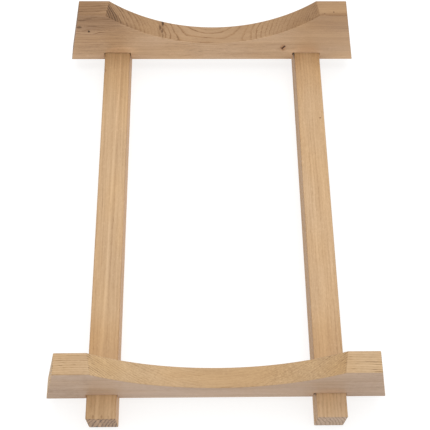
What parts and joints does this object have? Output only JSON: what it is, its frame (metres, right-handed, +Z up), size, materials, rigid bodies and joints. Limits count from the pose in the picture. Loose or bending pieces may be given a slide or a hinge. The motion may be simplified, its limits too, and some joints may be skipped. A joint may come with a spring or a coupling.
{
  "type": "ham holder stand",
  "caption": "Low wooden stand with arched cradle boards housed over parallel rails, to hold a whole ham lying across the cradles.",
  "frame": {"origin": "on the table, at the centre of the footprint: the middle of the box's underside", "axes": "+Z up, +Y along the rails from the front cradle to the rear cradle, +X along the cradles"},
  "size_m": [0.4, 0.571, 0.122],
  "materials": {
    "oak_front_cradle": "planed and sanded pale oak, bare or lightly oiled, matt",
    "oak_rear_cradle": "planed and sanded pale oak with a small knot, bare or lightly oiled, matt",
    "oak_left_rail": "planed and sanded straight-grained pale oak, bare or lightly oiled, matt",
    "oak_right_rail": "planed and sanded straight-grained pale oak, bare or lightly oiled, matt",
    "screw_steel": "plain stainless steel wood screw"
  },
  "bodies": {
    "root": {"front_cradle": "oak_front_cradle", "rear_cradle": "oak_rear_cradle", "left_rail": "oak_left_rail", "right_rail": "oak_right_rail", "front_left_screws": "screw_steel", "front_right_screws": "screw_steel", "rear_left_screws": "screw_steel", "rear_right_screws": "screw_steel"}
  },
  "joints": []
}
